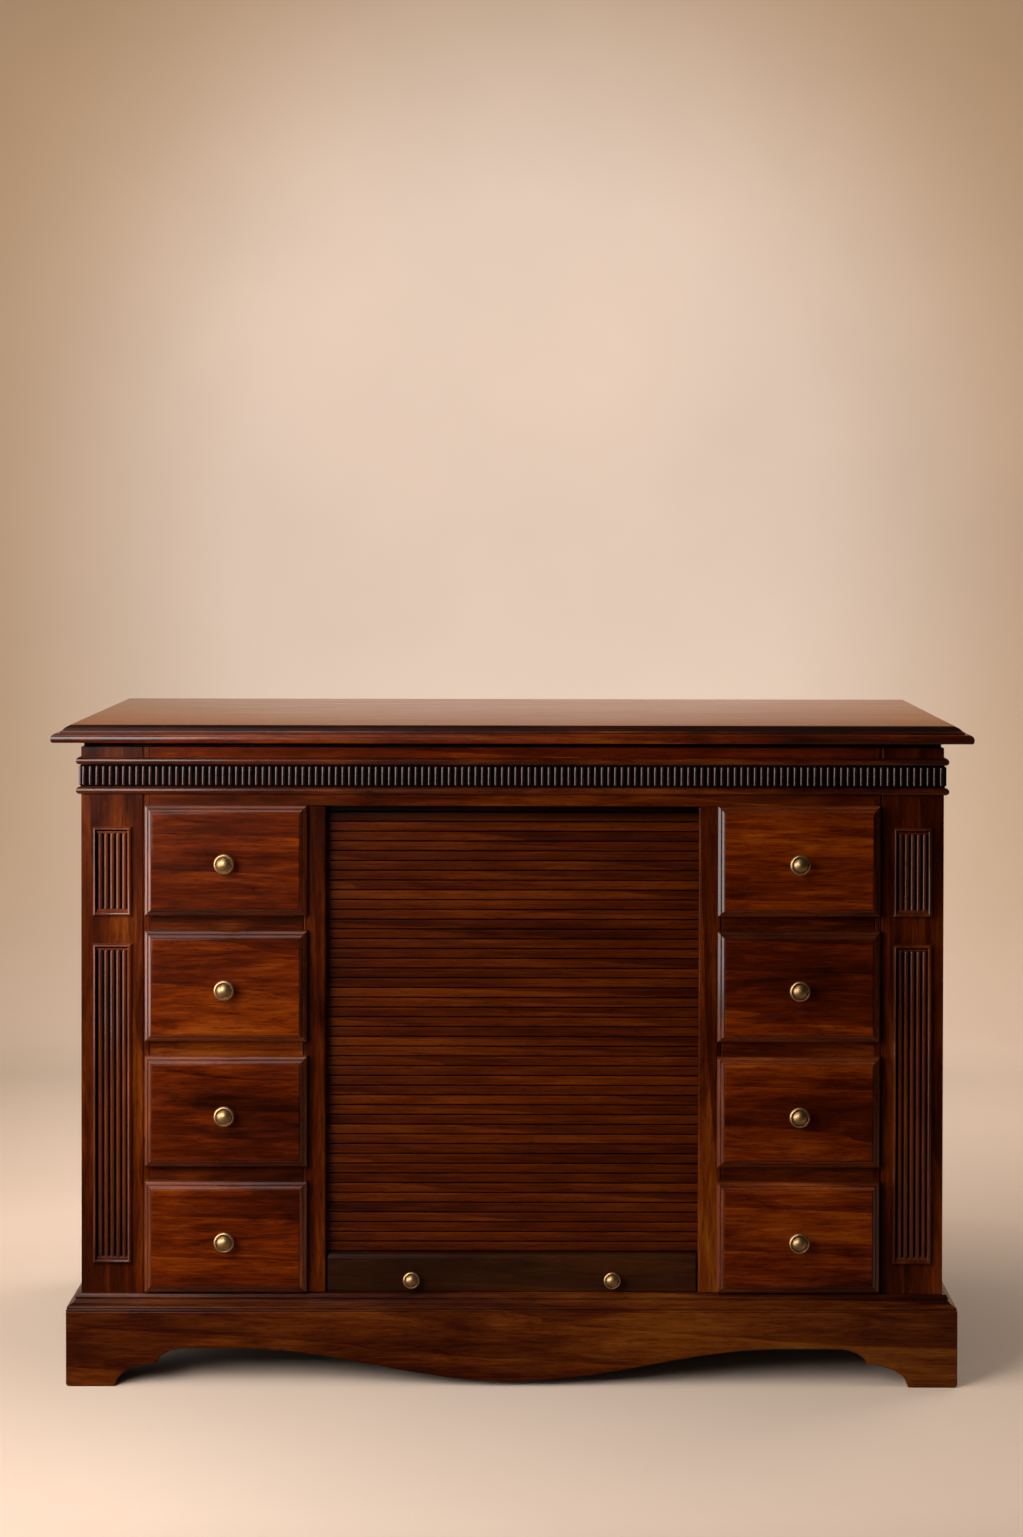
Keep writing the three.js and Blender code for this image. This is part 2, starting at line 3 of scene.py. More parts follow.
import bpy
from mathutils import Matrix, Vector


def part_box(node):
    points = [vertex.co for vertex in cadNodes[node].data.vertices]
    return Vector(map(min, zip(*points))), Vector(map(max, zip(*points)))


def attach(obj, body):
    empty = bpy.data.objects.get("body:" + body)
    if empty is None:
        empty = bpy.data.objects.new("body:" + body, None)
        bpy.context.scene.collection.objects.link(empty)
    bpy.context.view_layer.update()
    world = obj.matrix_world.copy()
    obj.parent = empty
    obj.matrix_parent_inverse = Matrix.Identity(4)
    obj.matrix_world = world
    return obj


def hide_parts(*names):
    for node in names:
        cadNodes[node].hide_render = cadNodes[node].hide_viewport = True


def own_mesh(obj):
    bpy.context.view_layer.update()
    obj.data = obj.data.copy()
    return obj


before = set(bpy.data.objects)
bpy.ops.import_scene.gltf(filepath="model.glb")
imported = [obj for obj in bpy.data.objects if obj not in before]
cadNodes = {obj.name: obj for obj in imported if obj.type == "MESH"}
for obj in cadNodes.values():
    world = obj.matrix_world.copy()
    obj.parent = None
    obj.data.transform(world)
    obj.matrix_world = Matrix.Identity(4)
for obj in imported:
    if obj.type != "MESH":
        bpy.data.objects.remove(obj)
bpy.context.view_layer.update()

# Places that several pieces share, in metres
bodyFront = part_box("pilaster_left")[0].y
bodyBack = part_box("back_panel")[1].y
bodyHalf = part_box("side_panel_right")[1].x
bodyDepth = bodyBack - bodyFront
print("stage 1: frame loaded,", len(cadNodes), "nodes")


def only(piece):
    bpy.ops.object.select_all(action="DESELECT")
    piece.select_set(True)
    bpy.context.view_layer.objects.active = piece


def startFace(name, place, width, depth, towards, corners=4):
    # a flat face that looks up or to the front, ready to be extruded
    bpy.ops.object.select_all(action="DESELECT")
    turn = (math.pi / 2, 0, 0) if towards == "front" else (0, 0, 0)
    if corners == 4:
        bpy.ops.mesh.primitive_plane_add(size=1, location=place, rotation=turn)
    else:
        bpy.ops.mesh.primitive_circle_add(
            vertices=corners, radius=0.5, fill_type="NGON", location=place, rotation=turn)
    piece = bpy.context.object
    piece.name = name
    piece.data.name = name
    piece.scale = (width, depth, 1)
    bpy.ops.object.transform_apply(location=True, rotation=True, scale=True)
    return piece


def growRings(piece, rings, towards, anchor):
    # rings are (width, depth, along); the face is extruded to each one and scaled about the anchor
    only(piece)
    bpy.ops.object.mode_set(mode="EDIT")
    bpy.ops.mesh.select_mode(type="FACE")
    bpy.ops.mesh.select_all(action="SELECT")
    for (width0, depth0, along0), (width1, depth1, along1) in zip(rings, rings[1:]):
        rise = along1 - along0
        across, down = width1 / width0, depth1 / depth0
        move = (0, 0, rise) if towards == "up" else (0, -rise, 0)
        ratio = (across, down, 1) if towards == "up" else (across, 1, down)
        bpy.ops.mesh.extrude_region_move(TRANSFORM_OT_translate={"value": move})
        bpy.ops.transform.resize(value=ratio, center_override=anchor)
    bpy.ops.mesh.select_all(action="SELECT")
    bpy.ops.mesh.normals_make_consistent(inside=False)
    bpy.ops.object.mode_set(mode="OBJECT")


def smoothByAngle(piece, degrees=32):
    only(piece)
    bpy.ops.object.shade_smooth_by_angle(angle=math.radians(degrees))


def applyModifier(piece, kind, **settings):
    only(piece)
    modifier = piece.modifiers.new("work", kind)
    for setting, value in settings.items():
        setattr(modifier, setting, value)
    bpy.ops.object.modifier_apply(modifier="work")


def repeat(piece, count, step):
    applyModifier(piece, "ARRAY", count=count, use_relative_offset=False,
                  use_constant_offset=True, constant_offset_displace=step)


def joinAll(piece, others):
    only(piece)
    for other in others:
        other.select_set(True)
    bpy.ops.object.join()


def middleBack(box):
    # the middle of a node's back face, where a front panel or a knob is set
    low, high = box
    return ((low.x + high.x) / 2, high.y, (low.z + high.z) / 2)


def cutBodyOut(piece, gap=0.0003):
    # takes the body's own space out of a moulding that wraps round its front and sides
    low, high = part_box("side_panel_left")[0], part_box("side_panel_right")[1]
    pastBack, pastEnds = 0.01, 0.1  # the cutter goes past the piece
    bpy.ops.object.select_all(action="DESELECT")
    bpy.ops.mesh.primitive_cube_add(
        size=1, location=(0, (bodyFront - gap + bodyBack + pastBack) / 2, (low.z + high.z) / 2))
    cutter = bpy.context.object
    cutter.scale = (
        2 * (bodyHalf + gap), bodyBack + pastBack - bodyFront + gap, high.z - low.z + pastEnds)
    bpy.ops.object.transform_apply(scale=True)
    applyModifier(piece, "BOOLEAN", operation="DIFFERENCE", object=cutter, solver="EXACT")
    bpy.data.objects.remove(cutter)


def wrappedMoulding(name, profile):
    # profile is (out from the body's face, height) in metres, lowest first; the back is cut flush
    out, height = profile[0]
    piece = startFace(
        name, (0, (bodyFront - out + bodyBack) / 2, height),
        2 * (bodyHalf + out), bodyDepth + out, "up")
    rings = [(2 * (bodyHalf + o), bodyDepth + o, z) for o, z in profile]
    growRings(piece, rings, "up", (0, bodyBack, 0))
    return piece


def frontPanel(name, width, height, profile):
    # profile is (in from the edge, out from the back) in metres, centred, with its back at y = 0
    piece = startFace(name, (0, 0, 0), width, height, "front")
    rings = [(width - 2 * inset, height - 2 * inset, out) for inset, out in profile]
    growRings(piece, rings, "front", (0, 0, 0))
    return piece


def copyTo(source, name, place):
    piece = source.copy()
    piece.data = source.data.copy()
    piece.name = name
    piece.data.name = name
    bpy.context.scene.collection.objects.link(piece)
    only(piece)
    piece.location = place
    bpy.ops.object.transform_apply(location=True, rotation=True, scale=True)
    return piece


def selectEdges(piece, wanted):
    # leaves the piece in edit mode with only the wanted edges selected
    only(piece)
    bpy.ops.object.mode_set(mode="EDIT")
    bpy.ops.mesh.select_mode(type="EDGE")
    bpy.ops.mesh.select_all(action="DESELECT")
    bpy.ops.object.mode_set(mode="OBJECT")
    for edge in piece.data.edges:
        edge.select = wanted(*[piece.data.vertices[v].co for v in edge.vertices])
    bpy.ops.object.mode_set(mode="EDIT")


def roundFeet(piece, width):
    # the outer lower corners of the feet, which wear round from being pushed about
    nearly = 0.001

    def atFoot(a, b):
        return max(a.z, b.z) < nearly and abs(a.x - b.x) < nearly and abs(a.x) > bodyHalf

    selectEdges(piece, atFoot)
    bpy.ops.mesh.bevel(offset=width, segments=4, affect="EDGES")
    bpy.ops.object.mode_set(mode="OBJECT")


def softened(nodeName, name, width, segments=3, footRound=0):
    # a copy of a board with its arrises rounded by hand plane and paper
    piece = bpy.data.objects.new(name, cadNodes[nodeName].data.copy())
    bpy.context.scene.collection.objects.link(piece)
    piece.data.name = name
    piece.data.materials.clear()
    only(piece)
    bpy.ops.mesh.customdata_custom_splitnormals_clear()
    bpy.ops.object.mode_set(mode="EDIT")
    bpy.ops.mesh.select_all(action="SELECT")
    bpy.ops.mesh.remove_doubles(threshold=0.00001)
    bpy.ops.mesh.dissolve_limited(angle_limit=math.radians(0.5))
    bpy.ops.object.mode_set(mode="OBJECT")
    if footRound:
        roundFeet(piece, footRound)
    applyModifier(piece, "BEVEL", width=width, segments=segments, limit_method="ANGLE",
                  angle_limit=math.radians(40), miter_outer="MITER_SHARP")
    smoothByAngle(piece, 40)
    applyModifier(piece, "WEIGHTED_NORMAL", keep_sharp=True)
    return piece


def settle(piece, body, materials, nodes=()):
    # gives a finished piece its finish, its body and the nodes it stands for
    if not piece.data.materials:
        for material in materials:
            piece.data.materials.append(material)
    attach(piece, body)
    if nodes:
        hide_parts(*nodes)
    return piece


def linear(hexCode):
    channels = [int(hexCode[i:i + 2], 16) / 255 for i in (1, 3, 5)]
    return [c / 12.92 if c <= 0.04045 else ((c + 0.055) / 1.055) ** 2.4 for c in channels] + [1]


def addNode(tree, kind, links=None, **settings):
    node = tree.nodes.new("ShaderNode" + kind)
    for setting, value in settings.items():
        setattr(node, setting, value)
    for socket, value in (links or {}).items():
        if isinstance(value, bpy.types.NodeSocket):
            tree.links.new(value, node.inputs[socket])
        else:
            node.inputs[socket].default_value = value
    return node


def newMaterial(name):
    material = bpy.data.materials.new(name)
    material.use_nodes = True
    tree = material.node_tree
    tree.nodes.clear()
    output = addNode(tree, "OutputMaterial")
    shader = addNode(tree, "BsdfPrincipled")
    tree.links.new(shader.outputs[0], output.inputs[0])
    return material, tree, shader


def setRamp(ramp, stops):
    elements = ramp.color_ramp.elements
    while len(elements) > 1:
        elements.remove(elements[-1])
    for i, (place, hexCode) in enumerate(stops):
        element = elements[0] if i == 0 else elements.new(place)
        element.position = place
        element.color = linear(hexCode)


# Mahogany under french polish: a red-brown body with long streaks, short dark pores and a soft
# gloss that lies over the grain. Scales are in cycles a metre, first along the grain, then across.
mahoganyGrain = {
    "clouds": (2.6, 10),  # patches some 400 by 100 mm
    "figure": (9, 62),  # streaks some 110 by 16 mm
    "streaks": (16, 300),  # 60 by 3.3 mm
    "pores": (70, 850),  # 14 by 1.2 mm, about twice as wide as real pores so that they show
    "ringScale": (1.3, 26),  # growth rings that wander along the board
}


def woodMaterial(name, grain, tones, gloss, glaze=None, slatRun=None):
    material, tree, shader = newMaterial(name)
    coords = addNode(tree, "TexCoord").outputs["Object"]
    if slatRun:
        # every slat is its own strip, so the grain jumps from one to the next
        height = addNode(tree, "SeparateXYZ", {0: coords}).outputs["Z"]
        strip = addNode(tree, "Math", {0: height, 1: slatRun["foot"]}, operation="SUBTRACT")
        strip = addNode(tree, "Math", {
            0: strip.outputs[0], 1: slatRun["pitch"]}, operation="DIVIDE")
        strip = addNode(tree, "Math", {0: strip.outputs[0]}, operation="FLOOR")
        chance = addNode(tree, "TexWhiteNoise", {"W": strip.outputs[0]}, noise_dimensions="1D")
        shift = addNode(tree, "VectorMath", {
            0: chance.outputs["Color"], 1: (3, 0, 0.02)}, operation="MULTIPLY")
        coords = addNode(tree, "VectorMath", {
            0: coords, 1: shift.outputs[0]}, operation="ADD").outputs[0]
    axis = "xyz".index(grain)

    def stretched(scales):
        along, across = scales
        scale = [across, across, across]
        scale[axis] = along
        return addNode(tree, "Mapping", {"Vector": coords, "Scale": scale}).outputs[0]

    clouds = addNode(tree, "TexNoise", {
        "Vector": stretched(mahoganyGrain["clouds"]), "Scale": 1, "Detail": 3, "Roughness": 0.55})
    figure = addNode(tree, "TexNoise", {
        "Vector": stretched(mahoganyGrain["figure"]), "Scale": 1, "Detail": 5,
        "Roughness": 0.6, "Distortion": 0.9})
    streaks = addNode(tree, "TexNoise", {
        "Vector": stretched(mahoganyGrain["streaks"]), "Scale": 1, "Detail": 3, "Roughness": 0.65})
    rings = addNode(tree, "TexWave", {
        "Vector": stretched(mahoganyGrain["ringScale"]), "Scale": 0.55, "Distortion": 7,
        "Detail": 3, "Detail Scale": 0.8, "Detail Roughness": 0.55},
        wave_type="BANDS", bands_direction="DIAGONAL", wave_profile="SAW")
    pores = addNode(tree, "TexNoise", {
        "Vector": stretched(mahoganyGrain["pores"]), "Scale": 1, "Detail": 2, "Roughness": 0.5})
    poreMask = addNode(tree, "MapRange", {
        "Value": pores.outputs[0], "From Min": 0.56, "From Max": 0.68, "To Min": 0, "To Max": 1})

    cloudShare = tones.get("clouds", 0.9)
    tone = addNode(tree, "Math", {
        0: clouds.outputs[0], 1: cloudShare, 2: (0.9 - cloudShare) / 2},
        operation="MULTIPLY_ADD").outputs[0]
    figureShare = tones.get("figure", 0.55)
    for texture, share in ((figure, figureShare), (streaks, 0.34), (rings, 0.12)):
        centred = addNode(tree, "Math", {
            0: texture.outputs["Fac"], 1: 0.5}, operation="SUBTRACT").outputs[0]
        tone = addNode(tree, "Math", {
            0: centred, 1: share, 2: tone}, operation="MULTIPLY_ADD").outputs[0]
    ramp = addNode(tree, "ValToRGB", {0: tone})
    setRamp(ramp, tones["ramp"])
    colour = ramp.outputs[0]
    if slatRun:
        stripTone = addNode(tree, "MapRange", {
            "Value": chance.outputs["Value"], "To Min": 0.93, "To Max": 1.08})
        # painted shadow: the slats are darkened towards the rail, which deepens the shade that it
        # casts on them
        railShadow = addNode(tree, "MapRange", {
            "Value": height, "From Min": slatRun["railShadowFrom"], "From Max": slatRun["railShadowTo"],
            "To Min": 1, "To Max": slatRun["railShadowTone"]})
        for factor in (stripTone, railShadow):
            colour = addNode(tree, "VectorMath", {
                0: colour, "Scale": factor.outputs[0]}, operation="SCALE").outputs[0]
    poreShare = addNode(tree, "Math", {
        0: poreMask.outputs[0], 1: tones.get("poreDepth", 0.55)}, operation="MULTIPLY")
    colour = addNode(tree, "Mix", {
        0: poreShare.outputs[0], 6: colour, 7: linear(tones["pore"])}, data_type="RGBA").outputs[2]
    if glaze:
        # dark glaze left in the hollows and rubbed off the crests
        crest = addNode(tree, "NewGeometry").outputs["Pointiness"]
        rubbed = addNode(tree, "MapRange", {
            "Value": crest, "From Min": glaze["from"], "From Max": glaze["to"]})
        patch = addNode(tree, "MapRange", {
            "Value": clouds.outputs[0], "From Min": 0.4, "From Max": 0.62, "To Min": 0.15})
        worn = addNode(tree, "Math", {
            0: rubbed.outputs[0], 1: patch.outputs[0]}, operation="MULTIPLY")
        worn = addNode(tree, "Math", {
            0: worn.outputs[0], 1: glaze["amount"]}, operation="MULTIPLY")
        colour = addNode(tree, "Mix", {
            0: worn.outputs[0], 6: colour, 7: linear(glaze["wood"])}, data_type="RGBA").outputs[2]
    tree.links.new(colour, shader.inputs["Base Color"])

    roughness = addNode(tree, "MapRange", {
        "Value": figure.outputs[0], "From Min": 0.3, "From Max": 0.7,
        "To Min": gloss["rough"] - 0.05, "To Max": gloss["rough"] + 0.07})
    tree.links.new(roughness.outputs[0], shader.inputs["Roughness"])
    relief = addNode(tree, "Math", {
        0: poreMask.outputs[0], 1: -0.6, 2: streaks.outputs[0]}, operation="MULTIPLY_ADD")
    bump = addNode(tree, "Bump", {
        "Strength": gloss["bump"], "Distance": 0.0004, "Height": relief.outputs[0]})
    tree.links.new(bump.outputs[0], shader.inputs["Normal"])
    shader.inputs["IOR"].default_value = 1.5
    shader.inputs["Specular IOR Level"].default_value = gloss.get("specular", 0.5)
    shader.inputs["Coat Weight"].default_value = gloss["coat"]
    shader.inputs["Coat Roughness"].default_value = gloss["coatRough"]
    return material


redMahogany = {
    "ramp": [(0.2, "#210600"), (0.36, "#411000"), (0.48, "#5d1d00"),
             (0.6, "#7a3002"), (0.8, "#9c500c")],
    "pore": "#1a0500",
}
frameMahogany = {  # the members of the frame took the stain darker than the drawer fronts
    "ramp": [(0.2, "#1d0500"), (0.36, "#370e00"), (0.48, "#4f1a00"),
             (0.6, "#692a03"), (0.8, "#87460d")],
    "pore": "#160400",
}
railLitTones = {  # painted lighter, to make up for the shade that the top casts on it
    "ramp": [(0.2, "#280900"), (0.36, "#4f1600"), (0.48, "#6b2202"),
             (0.6, "#8c3704"), (0.8, "#ac5b12")],
    "pore": "#1a0500", "figure": 0.5,
}
baseTones = {
    "ramp": [(0.2, "#190501"), (0.36, "#2f0d02"), (0.48, "#431803"),
             (0.6, "#582605"), (0.8, "#703f0f")],
    "pore": "#100300", "figure": 0.5,
}
plinthMahogany = {
    "ramp": [(0.2, "#1d0601"), (0.36, "#370f02"), (0.48, "#4e1e03"),
             (0.6, "#662e08"), (0.8, "#824a13")],
    "pore": "#140400",
}
ogeeDarkTones = {
    "ramp": [(0.25, "#120603"), (0.5, "#280d04"), (0.75, "#441a08")],
    "pore": "#0a0402", "figure": 0.5,
}
blackenedMahogany = {
    "ramp": [(0.25, "#1c0906"), (0.5, "#35130b"), (0.75, "#4e2011")],
    "pore": "#070302", "figure": 0.5,
}
reedMahogany = {
    "ramp": [(0.25, "#290d04"), (0.5, "#4e1c07"), (0.75, "#74320d")],
    "pore": "#160602", "figure": 0.5,
}
hollowShadeTones = {
    "ramp": [(0.25, "#050201"), (0.5, "#090402"), (0.75, "#120704")],
    "pore": "#040201", "figure": 0.5,
}
edgeTones = {
    "ramp": [(0.2, "#2a0d03"), (0.4, "#4a1a05"), (0.6, "#6e2c08"), (0.8, "#9a4c12")],
    "pore": "#1a0701", "figure": 0.5,
}
tabletopSheenTones = {
    "ramp": [(0.2, "#6a2c0a"), (0.5, "#8a4212"), (0.8, "#a05a22")],
    "pore": "#5a2508", "figure": 0.3, "clouds": 0.5, "poreDepth": 0.3,
}
leadBarMahogany = {
    "ramp": [(0.25, "#120601"), (0.5, "#261004"), (0.75, "#3c1c08")],
    "pore": "#0c0402", "figure": 0.5,
}
slatTones = {
    "ramp": [(0.2, "#1f0600"), (0.36, "#390e00"), (0.48, "#4f1a00"),
             (0.6, "#672902"), (0.8, "#83400a")],
    "pore": "#140400", "figure": 0.22, "clouds": 0.42,
}
liningWood = {
    "ramp": [(0.2, "#7c5833"), (0.45, "#a07a4c"), (0.6, "#b38c5c"), (0.8, "#c6a272")],
    "pore": "#6e4a28", "poreDepth": 0.4, "figure": 0.5,
}
# How each surface was finished: rough and specular for the wood, coat for the film over it
polished = {"rough": 0.3, "bump": 0.15, "coat": 0.08, "coatRough": 0.07, "specular": 0.06}
frenchPolished = {"rough": 0.28, "bump": 0.1, "coat": 0.5, "coatRough": 0.1, "specular": 0.22}
tableTop = {"rough": 0.3, "bump": 0.03, "coat": 0.45, "coatRough": 0.2, "specular": 0.35}
waxed = {"rough": 0.32, "bump": 0.15, "coat": 0.12, "coatRough": 0.09, "specular": 0.08}
glossy = {"rough": 0.28, "bump": 0.05, "coat": 1, "coatRough": 0.1, "specular": 0.2}
dulled = {"rough": 0.4, "bump": 0.12, "coat": 0.08, "coatRough": 0.2, "specular": 0.25}
shadeMatt = {"rough": 0.8, "bump": 0.1, "coat": 0, "coatRough": 0.3, "specular": 0.02}
bare = {"rough": 0.66, "bump": 0.35, "coat": 0, "coatRough": 0.3}

# Flat work: deep colour under a thin, even film, with hardly any glare
mahoganyAcross = woodMaterial("polishedMahoganyAcross", "x", redMahogany, polished)
frameAcross = woodMaterial("frameMahoganyAcross", "x", frameMahogany, polished)
frameUpright = woodMaterial("frameMahoganyUpright", "z", frameMahogany, polished)
plinthAcross = woodMaterial("plinthMahoganyAcross", "x", plinthMahogany, polished)
plinthDeep = woodMaterial("plinthMahoganyDeep", "y", plinthMahogany, polished)
railUpperLit = woodMaterial("railMahoganyPaintedLight", "x", railLitTones, polished)

# The top: paler tones than the other wood, partly a painted sheen, under a coat that gives back a
# broad pale sheen
topMahoganySheen = woodMaterial("tabletopMahoganyPaintedSheen", "x", tabletopSheenTones, tableTop)

# Mouldings and edges, rubbed up with french polish until their arrises draw a line of light
frameGloss = woodMaterial("mouldingMahogany", "x", frameMahogany, frenchPolished)
noseMahogany = woodMaterial("frenchPolishedMahogany", "x", redMahogany, frenchPolished)
edgeMahogany = woodMaterial("edgeMahoganyAcross", "x", edgeTones, frenchPolished)
edgeMahoganyUpright = woodMaterial("edgeMahoganyUpright", "z", edgeTones, frenchPolished)
baseMahogany = woodMaterial("baseMouldingMahogany", "x", baseTones, waxed)

# Painted shade for hollows and gaps: nearly black, with no shine; and a dark, dull finish for the
# top's ogee
hollowShade = woodMaterial("paintedShadeInHollows", "x", hollowShadeTones, shadeMatt)
ogeeDark = woodMaterial("darkMahoganyOgee", "x", ogeeDarkTones, dulled)

# Reeds, glazed dark and then polished: a thin bright line on a dark body, browner where rubbed
panelGlaze = woodMaterial(
    "glazedMahoganyUpright", "z", reedMahogany, glossy,
    {"from": 0.52, "to": 0.6, "amount": 0.5, "wood": "#7a3410"})
friezeGlaze = woodMaterial(
    "blackenedMahogany", "x", blackenedMahogany, glossy,
    {"from": 0.54, "to": 0.64, "amount": 0.3, "wood": "#6a3320"})

# The lead bar, dark from hands, with its edges rubbed back to the wood
leadBarFinish = woodMaterial(
    "leadBarMahogany", "x", leadBarMahogany, waxed,
    {"from": 0.52, "to": 0.6, "amount": 0.35, "wood": "#7a3c18"})

# The slats, waxed, each from its own strip of wood, with the rail's shadow painted on the top ones
slats = {
    "count": 47, "gap": 0.0011, "arris": 0.0013,
    "travel": 0.516,  # how far the lead bar rises
    "railShadowFrom": 0.026, "railShadowTo": 0.009, "railShadowTone": 0.1,  # painted shadow: where it starts and ends below the rail's lower edge, and how dark
}
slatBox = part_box("tambour_curtain")
slatPitch = (slatBox[1].z - slatBox[0].z) / slats["count"]
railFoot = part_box("frieze_rail")[0].z
slatMahogany = woodMaterial("tambourMahogany", "x", slatTones, waxed, slatRun={
    "foot": slatBox[0].z, "pitch": slatPitch, "railShadowTone": slats["railShadowTone"],
    "railShadowFrom": railFoot - slats["railShadowFrom"], "railShadowTo": railFoot - slats["railShadowTo"]})

# Inside work in a plain hardwood, planed and left bare: matt, with open grain
liningAcross = woodMaterial("plainHardwoodAcross", "x", liningWood, bare)
liningUpright = woodMaterial("plainHardwoodUpright", "z", liningWood, bare)
liningDeep = woodMaterial("plainHardwoodDeep", "y", liningWood, bare)


def brassMaterial(name, bright, dull, rough):
    # Cast and turned brass, aged by hand: bright where it is touched, brown in the hollows
    material, tree, shader = newMaterial(name)
    coords = addNode(tree, "TexCoord").outputs["Object"]
    tarnish = addNode(tree, "TexNoise", {
        "Vector": coords, "Scale": 260, "Detail": 4, "Roughness": 0.6})  # patches of 4 mm
    spots = addNode(tree, "TexNoise", {
        "Vector": coords, "Scale": 900, "Detail": 2, "Roughness": 0.5})  # pits of 1 mm
    crest = addNode(tree, "NewGeometry").outputs["Pointiness"]
    rubbed = addNode(tree, "MapRange", {"Value": crest, "From Min": 0.44, "From Max": 0.56})
    share = addNode(tree, "Math", {
        0: tarnish.outputs[0], 1: 0.9, 2: -0.2}, operation="MULTIPLY_ADD")
    share = addNode(tree, "Math", {
        0: rubbed.outputs[0], 1: 0.55, 2: share.outputs[0]}, operation="MULTIPLY_ADD")
    colour = addNode(tree, "Mix", {
        0: share.outputs[0], 6: linear(dull), 7: linear(bright)}, data_type="RGBA")
    tree.links.new(colour.outputs[2], shader.inputs["Base Color"])
    shader.inputs["Metallic"].default_value = 1
    roughness = addNode(tree, "MapRange", {
        "Value": tarnish.outputs[0], "From Min": 0.3, "From Max": 0.7,
        "To Min": rough + 0.1, "To Max": rough - 0.05})
    tree.links.new(roughness.outputs[0], shader.inputs["Roughness"])
    bump = addNode(tree, "Bump", {"Strength": 0.12, "Distance": 0.0002, "Height": spots.outputs[0]})
    tree.links.new(bump.outputs[0], shader.inputs["Normal"])
    return material


antiqueBrass = brassMaterial("antiqueBrass", "#d0a676", "#9c7849", 0.42)
brassPatina = brassMaterial("brassPatina", "#4a341a", "#1c1207", 0.45)  # dirt left in the groove
print("stage 2: materials made")


topEdge = {
    "profile": [  # mm in from the nose, share of the thickness: nose, fillet, ogee, flat
        (2.8, 0), (1.3, 0.025), (0.4, 0.09), (0, 0.2), (0.1, 0.3), (0.9, 0.4), (2.2, 0.47),
        (4.4, 0.525), (7.4, 0.55), (8.4, 0.552), (8.6, 0.5), (9.8, 0.5), (9.8, 0.61),
        (10.7, 0.672), (11.4, 0.675), (11.8, 0.69), (12.6, 0.73), (13.6, 0.79), (15.2, 0.86),
        (17.2, 0.915), (19, 0.955), (19.8, 0.985), (20.6, 1)],
    "groove": (0.5, 0.62),  # the fillet's upright face, as shares of the thickness; it takes the dark ogee finish as painted shade
    "ogee": 0.69,  # where the ogee starts
    "arris": 0.0005,  # depth of the rubbed edge of the flat
}
slabLow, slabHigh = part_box("top_slab")
topThickness = slabHigh.z - slabLow.z
topOut = slabHigh.x - bodyHalf
profile = [(topOut - inset / 1000, slabLow.z + share * topThickness)
           for inset, share in topEdge["profile"]]
topSlab = wrappedMoulding("topSlab", profile)
smoothByAngle(topSlab)
topFinishes = {"nose": 0, "ogee": 1, "flat": 2}
settle(topSlab, "carcass", [noseMahogany, ogeeDark, topMahoganySheen], ["top_slab"])
grooveFrom, grooveTo = topEdge["groove"]
for polygon in topSlab.data.polygons:
    height, facing = polygon.center.z, polygon.normal
    isGroove = grooveFrom < (height - slabLow.z) / topThickness < grooveTo and abs(facing.z) < 0.3
    isUpper = height > slabLow.z + topThickness * topEdge["ogee"] and facing.y < 0.9
    isArris = 0.4 < facing.z < 0.99 and height > slabHigh.z - topEdge["arris"]
    # the fillet's upright face gets the dark ogee finish as painted shade
    if isGroove:
        finish = "ogee"
    elif isArris or not isUpper:
        finish = "nose"
    else:
        finish = "flat" if facing.z > 0.99 else "ogee"
    polygon.material_index = topFinishes[finish]

spacerShape = {"arris": 0.0006, "arrisSteps": 2}
# the spacer in the shadow gap under the top is painted near-black, as painted shade
spacer = softened("top_spacer", "topSpacer", spacerShape["arris"], spacerShape["arrisSteps"])
settle(spacer, "carcass", [hollowShade], ["top_spacer"])
print("stage 3: top")


boards = [
    # node, piece, arris in mm, slot, finish
    ("side_panel_left", "sidePanelLeft", 1.2, "mahogany", frameUpright),
    ("side_panel_right", "sidePanelRight", 1.2, "mahogany", frameUpright),
    ("pilaster_left", "pilasterLeft", 0.8, "mahogany", frameUpright),
    ("pilaster_right", "pilasterRight", 0.8, "mahogany", frameUpright),
    ("inner_stile_left", "innerStileLeft", 2.2, "mahogany", frameUpright),
    ("inner_stile_right", "innerStileRight", 2.2, "mahogany", frameUpright),
    ("frieze_rail", "friezeRail", 1.0, "mahogany", frameAcross),
    ("carcass_bottom", "carcassBottom", 0.8, "mahogany", frameAcross),
    ("carcass_top", "carcassTop", 0.8, "drawer_lining", liningAcross),
    ("back_panel", "backPanel", 1.0, "drawer_lining", liningUpright),
    ("partition_left", "partitionLeft", 0.8, "drawer_lining", liningUpright),
    ("partition_right", "partitionRight", 0.8, "drawer_lining", liningUpright),
    ("plinth_back", "plinthBack", 1.5, "drawer_lining", liningAcross),
    ("plinth_side_left", "plinthSideLeft", 1.6, "mahogany", plinthDeep),
    ("plinth_side_right", "plinthSideRight", 1.6, "mahogany", plinthDeep),
    ("plinth_front", "plinthFront", 1.6, "mahogany", plinthAcross),
]
for side in ("left", "right"):
    for row in (1, 2, 3):
        boards.append((f"web_frame_{side}_{row}", f"webFrame{side.capitalize()}{row}", 0.8,
                       "mahogany", frameAcross))
plinthShape = {"footRound": 0.0035}
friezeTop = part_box("reeded_frieze")[1].z
